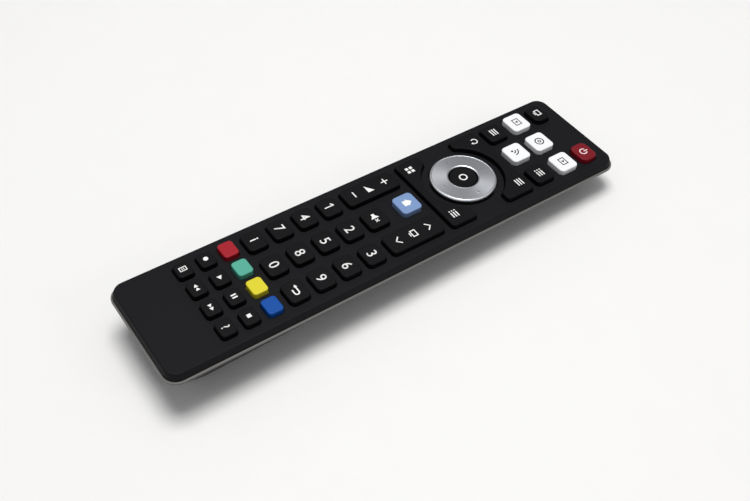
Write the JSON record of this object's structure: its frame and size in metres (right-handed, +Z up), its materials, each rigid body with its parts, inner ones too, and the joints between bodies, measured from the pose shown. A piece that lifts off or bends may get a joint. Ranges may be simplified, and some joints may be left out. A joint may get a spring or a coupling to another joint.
{
  "type": "universal remote control",
  "caption": "Slim hand-held television remote with a flared top cover, rubber keys, tilting rockers, a silver direction ring and a sliding battery door.",
  "frame": {"origin": "centre of the footprint, on the table", "axes": "+Z up, +Y towards the infrared end, +X to the user's right"},
  "size_m": [0.05, 0.2062, 0.0233],
  "materials": {
    "case_charcoal": "fine matte texture",
    "shell_black": "fine matte texture",
    "door_black": "fine matte texture",
    "rubber_black": "matte",
    "rubber_white": "satin",
    "rubber_light_blue": "satin",
    "rubber_power_red": "satin",
    "rubber_red": "satin",
    "rubber_green": "satin",
    "rubber_yellow": "satin",
    "rubber_blue": "satin",
    "ring_silver": "satin silver",
    "carrier_black": "matte",
    "mat_grey": "matte",
    "board_green": "solder mask",
    "contact_gold": "plated",
    "window_dark": "polished",
    "led_clear": "clear",
    "chip_black": "moulded",
    "ceramic_tan": "dipped",
    "can_blue": "sleeved",
    "sheet_nickel": "nickel plated",
    "screw_steel": "zinc plated",
    "cell_jacket": "printed film jacket"
  },
  "bodies": {
    "root": {"top_cover": "case_charcoal", "bottom_case": "shell_black", "keypad_mat": "mat_grey", "circuit_board": "board_green", "contact_pads": "contact_gold", "ir_window": "window_dark", "ir_leds": "led_clear", "controller_chip": "chip_black", "resonator": "ceramic_tan", "capacitor": "can_blue", "board_parts": "chip_black", "case_screws": "screw_steel", "bridge_contact": "sheet_nickel", "positive_contact": "sheet_nickel", "negative_contact": "sheet_nickel", "battery_left": "cell_jacket", "battery_right": "cell_jacket"},
    "battery_door": {"battery_door": "door_black"},
    "volume_rocker": {"volume_rocker": "rubber_black"},
    "channel_rocker": {"channel_rocker": "rubber_black"},
    "arch_key_upper": {"arch_key_upper": "rubber_black"},
    "arch_key_lower": {"arch_key_lower": "rubber_black"},
    "nav_pad": {"nav_pad": "mat_grey"},
    "nav_ring": {"nav_ring": "ring_silver", "nav_ring_carrier": "carrier_black"},
    "ok_key": {"ok_key": "rubber_black"},
    "tv_key": {"tv_key": "rubber_black"},
    "power_key": {"power_key": "rubber_power_red"},
    "source_key_left": {"source_key_left": "rubber_white"},
    "source_key_middle": {"source_key_middle": "rubber_white"},
    "source_key_right": {"source_key_right": "rubber_white"},
    "text_key": {"text_key": "rubber_black"},
    "source_key_lower": {"source_key_lower": "rubber_white"},
    "list_key": {"list_key": "rubber_black"},
    "home_key": {"home_key": "rubber_light_blue"},
    "mute_key": {"mute_key": "rubber_black"},
    "digit_1_key": {"digit_1_key": "rubber_black"},
    "digit_2_key": {"digit_2_key": "rubber_black"},
    "digit_3_key": {"digit_3_key": "rubber_black"},
    "digit_4_key": {"digit_4_key": "rubber_black"},
    "digit_5_key": {"digit_5_key": "rubber_black"},
    "digit_6_key": {"digit_6_key": "rubber_black"},
    "digit_7_key": {"digit_7_key": "rubber_black"},
    "digit_8_key": {"digit_8_key": "rubber_black"},
    "digit_9_key": {"digit_9_key": "rubber_black"},
    "info_key": {"info_key": "rubber_black"},
    "digit_0_key": {"digit_0_key": "rubber_black"},
    "back_key": {"back_key": "rubber_black"},
    "red_key": {"red_key": "rubber_red"},
    "green_key": {"green_key": "rubber_green"},
    "yellow_key": {"yellow_key": "rubber_yellow"},
    "blue_key": {"blue_key": "rubber_blue"},
    "record_key": {"record_key": "rubber_black"},
    "play_key": {"play_key": "rubber_black"},
    "pause_key": {"pause_key": "rubber_black"},
    "stop_key": {"stop_key": "rubber_black"},
    "page_key": {"page_key": "rubber_black"},
    "rewind_key": {"rewind_key": "rubber_black"},
    "forward_key": {"forward_key": "rubber_black"},
    "help_key": {"help_key": "rubber_black"}
  },
  "joints": [
    {"name": "door_slide", "type": "slide", "parent": "root", "child": "battery_door", "axis": [0, -1, 0], "range_m": [0, 0.064]},
    {"name": "volume_rock", "type": "hinge", "parent": "root", "child": "volume_rocker", "pos_m": [-0.0146, 0.0044, 0.01515], "axis": [1, 0, 0], "range_deg": [-4, 4], "stiffness_Nm_per_rad": 0.11},
    {"name": "channel_rock", "type": "hinge", "parent": "root", "child": "channel_rocker", "pos_m": [0.0146, 0.0044, 0.01515], "axis": [1, 0, 0], "range_deg": [-4, 4], "stiffness_Nm_per_rad": 0.11},
    {"name": "arch_key_upper_rock", "type": "hinge", "parent": "root", "child": "arch_key_upper", "pos_m": [0, 0.03999, 0.01391], "axis": [0, 0.9994, -0.0349], "range_deg": [-2.5, 2.5], "stiffness_Nm_per_rad": 0.33},
    {"name": "arch_key_lower_rock", "type": "hinge", "parent": "root", "child": "arch_key_lower", "pos_m": [0, 0.03999, 0.01391], "axis": [0, 0.9994, -0.0349], "range_deg": [-2.5, 2.5], "stiffness_Nm_per_rad": 0.33},
    {"name": "nav_tilt_up_down", "type": "hinge", "parent": "root", "child": "nav_pad", "pos_m": [0, 0.03995, 0.01271], "axis": [1, 0, 0], "range_deg": [-2.5, 2.5], "stiffness_Nm_per_rad": 0.25},
    {"name": "nav_tilt_left_right", "type": "hinge", "parent": "nav_pad", "child": "nav_ring", "pos_m": [0, 0.03999, 0.01386], "axis": [0, 0.9994, -0.0349], "range_deg": [-2.5, 2.5], "stiffness_Nm_per_rad": 0.25},
    {"name": "ok_press", "type": "slide", "parent": "root", "child": "ok_key", "axis": [0, -0.0349, -0.9994], "range_m": [0, 0.0009], "stiffness_N_per_m": 700, "springref_m": -0.0002},
    {"name": "tv_press", "type": "slide", "parent": "root", "child": "tv_key", "axis": [0, -0.0349, -0.9994], "range_m": [0, 0.0009], "stiffness_N_per_m": 700, "springref_m": -0.0002},
    {"name": "power_press", "type": "slide", "parent": "root", "child": "power_key", "axis": [0, -0.0349, -0.9994], "range_m": [0, 0.0009], "stiffness_N_per_m": 700, "springref_m": -0.0002},
    {"name": "source_left_press", "type": "slide", "parent": "root", "child": "source_key_left", "axis": [0, -0.0349, -0.9994], "range_m": [0, 0.0009], "stiffness_N_per_m": 700, "springref_m": -0.0002},
    {"name": "source_middle_press", "type": "slide", "parent": "root", "child": "source_key_middle", "axis": [0, -0.0349, -0.9994], "range_m": [0, 0.0009], "stiffness_N_per_m": 700, "springref_m": -0.0002},
    {"name": "source_right_press", "type": "slide", "parent": "root", "child": "source_key_right", "axis": [0, -0.0349, -0.9994], "range_m": [0, 0.0009], "stiffness_N_per_m": 700, "springref_m": -0.0002},
    {"name": "text_press", "type": "slide", "parent": "root", "child": "text_key", "axis": [0, -0.0349, -0.9994], "range_m": [0, 0.0009], "stiffness_N_per_m": 700, "springref_m": -0.0002},
    {"name": "source_lower_press", "type": "slide", "parent": "root", "child": "source_key_lower", "axis": [0, -0.0349, -0.9994], "range_m": [0, 0.0009], "stiffness_N_per_m": 700, "springref_m": -0.0002},
    {"name": "list_press", "type": "slide", "parent": "root", "child": "list_key", "axis": [0, -0.0349, -0.9994], "range_m": [0, 0.0009], "stiffness_N_per_m": 700, "springref_m": -0.0002},
    {"name": "home_press", "type": "slide", "parent": "root", "child": "home_key", "axis": [0, -0.0349, -0.9994], "range_m": [0, 0.0009], "stiffness_N_per_m": 700, "springref_m": -0.0002},
    {"name": "mute_press", "type": "slide", "parent": "root", "child": "mute_key", "axis": [0, -0.0349, -0.9994], "range_m": [0, 0.0009], "stiffness_N_per_m": 700, "springref_m": -0.0002},
    {"name": "digit_1_press", "type": "slide", "parent": "root", "child": "digit_1_key", "axis": [0, -0.0349, -0.9994], "range_m": [0, 0.0009], "stiffness_N_per_m": 700, "springref_m": -0.0002},
    {"name": "digit_2_press", "type": "slide", "parent": "root", "child": "digit_2_key", "axis": [0, -0.0349, -0.9994], "range_m": [0, 0.0009], "stiffness_N_per_m": 700, "springref_m": -0.0002},
    {"name": "digit_3_press", "type": "slide", "parent": "root", "child": "digit_3_key", "axis": [0, -0.0349, -0.9994], "range_m": [0, 0.0009], "stiffness_N_per_m": 700, "springref_m": -0.0002},
    {"name": "digit_4_press", "type": "slide", "parent": "root", "child": "digit_4_key", "axis": [0, -0.0349, -0.9994], "range_m": [0, 0.0009], "stiffness_N_per_m": 700, "springref_m": -0.0002},
    {"name": "digit_5_press", "type": "slide", "parent": "root", "child": "digit_5_key", "axis": [0, -0.0349, -0.9994], "range_m": [0, 0.0009], "stiffness_N_per_m": 700, "springref_m": -0.0002},
    {"name": "digit_6_press", "type": "slide", "parent": "root", "child": "digit_6_key", "axis": [0, -0.0349, -0.9994], "range_m": [0, 0.0009], "stiffness_N_per_m": 700, "springref_m": -0.0002},
    {"name": "digit_7_press", "type": "slide", "parent": "root", "child": "digit_7_key", "axis": [0, -0.0349, -0.9994], "range_m": [0, 0.0009], "stiffness_N_per_m": 700, "springref_m": -0.0002},
    {"name": "digit_8_press", "type": "slide", "parent": "root", "child": "digit_8_key", "axis": [0, -0.0349, -0.9994], "range_m": [0, 0.0009], "stiffness_N_per_m": 700, "springref_m": -0.0002},
    {"name": "digit_9_press", "type": "slide", "parent": "root", "child": "digit_9_key", "axis": [0, -0.0349, -0.9994], "range_m": [0, 0.0009], "stiffness_N_per_m": 700, "springref_m": -0.0002},
    {"name": "info_press", "type": "slide", "parent": "root", "child": "info_key", "axis": [0, -0.0349, -0.9994], "range_m": [0, 0.0009], "stiffness_N_per_m": 700, "springref_m": -0.0002},
    {"name": "digit_0_press", "type": "slide", "parent": "root", "child": "digit_0_key", "axis": [0, -0.0349, -0.9994], "range_m": [0, 0.0009], "stiffness_N_per_m": 700, "springref_m": -0.0002},
    {"name": "back_press", "type": "slide", "parent": "root", "child": "back_key", "axis": [0, -0.0349, -0.9994], "range_m": [0, 0.0009], "stiffness_N_per_m": 700, "springref_m": -0.0002},
    {"name": "red_press", "type": "slide", "parent": "root", "child": "red_key", "axis": [0, -0.0349, -0.9994], "range_m": [0, 0.0009], "stiffness_N_per_m": 700, "springref_m": -0.0002},
    {"name": "green_press", "type": "slide", "parent": "root", "child": "green_key", "axis": [0, -0.0349, -0.9994], "range_m": [0, 0.0009], "stiffness_N_per_m": 700, "springref_m": -0.0002},
    {"name": "yellow_press", "type": "slide", "parent": "root", "child": "yellow_key", "axis": [0, -0.0349, -0.9994], "range_m": [0, 0.0009], "stiffness_N_per_m": 700, "springref_m": -0.0002},
    {"name": "blue_press", "type": "slide", "parent": "root", "child": "blue_key", "axis": [0, -0.0349, -0.9994], "range_m": [0, 0.0009], "stiffness_N_per_m": 700, "springref_m": -0.0002},
    {"name": "record_press", "type": "slide", "parent": "root", "child": "record_key", "axis": [0, -0.0349, -0.9994], "range_m": [0, 0.0009], "stiffness_N_per_m": 700, "springref_m": -0.0002},
    {"name": "play_press", "type": "slide", "parent": "root", "child": "play_key", "axis": [0, -0.0349, -0.9994], "range_m": [0, 0.0009], "stiffness_N_per_m": 700, "springref_m": -0.0002},
    {"name": "pause_press", "type": "slide", "parent": "root", "child": "pause_key", "axis": [0, -0.0349, -0.9994], "range_m": [0, 0.0009], "stiffness_N_per_m": 700, "springref_m": -0.0002},
    {"name": "stop_press", "type": "slide", "parent": "root", "child": "stop_key", "axis": [0, -0.0349, -0.9994], "range_m": [0, 0.0009], "stiffness_N_per_m": 700, "springref_m": -0.0002},
    {"name": "page_press", "type": "slide", "parent": "root", "child": "page_key", "axis": [0, -0.0349, -0.9994], "range_m": [0, 0.0009], "stiffness_N_per_m": 700, "springref_m": -0.0002},
    {"name": "rewind_press", "type": "slide", "parent": "root", "child": "rewind_key", "axis": [0, -0.0349, -0.9994], "range_m": [0, 0.0009], "stiffness_N_per_m": 700, "springref_m": -0.0002},
    {"name": "forward_press", "type": "slide", "parent": "root", "child": "forward_key", "axis": [0, -0.0349, -0.9994], "range_m": [0, 0.0009], "stiffness_N_per_m": 700, "springref_m": -0.0002},
    {"name": "help_press", "type": "slide", "parent": "root", "child": "help_key", "axis": [0, -0.0349, -0.9994], "range_m": [0, 0.0009], "stiffness_N_per_m": 700, "springref_m": -0.0002}
  ]
}
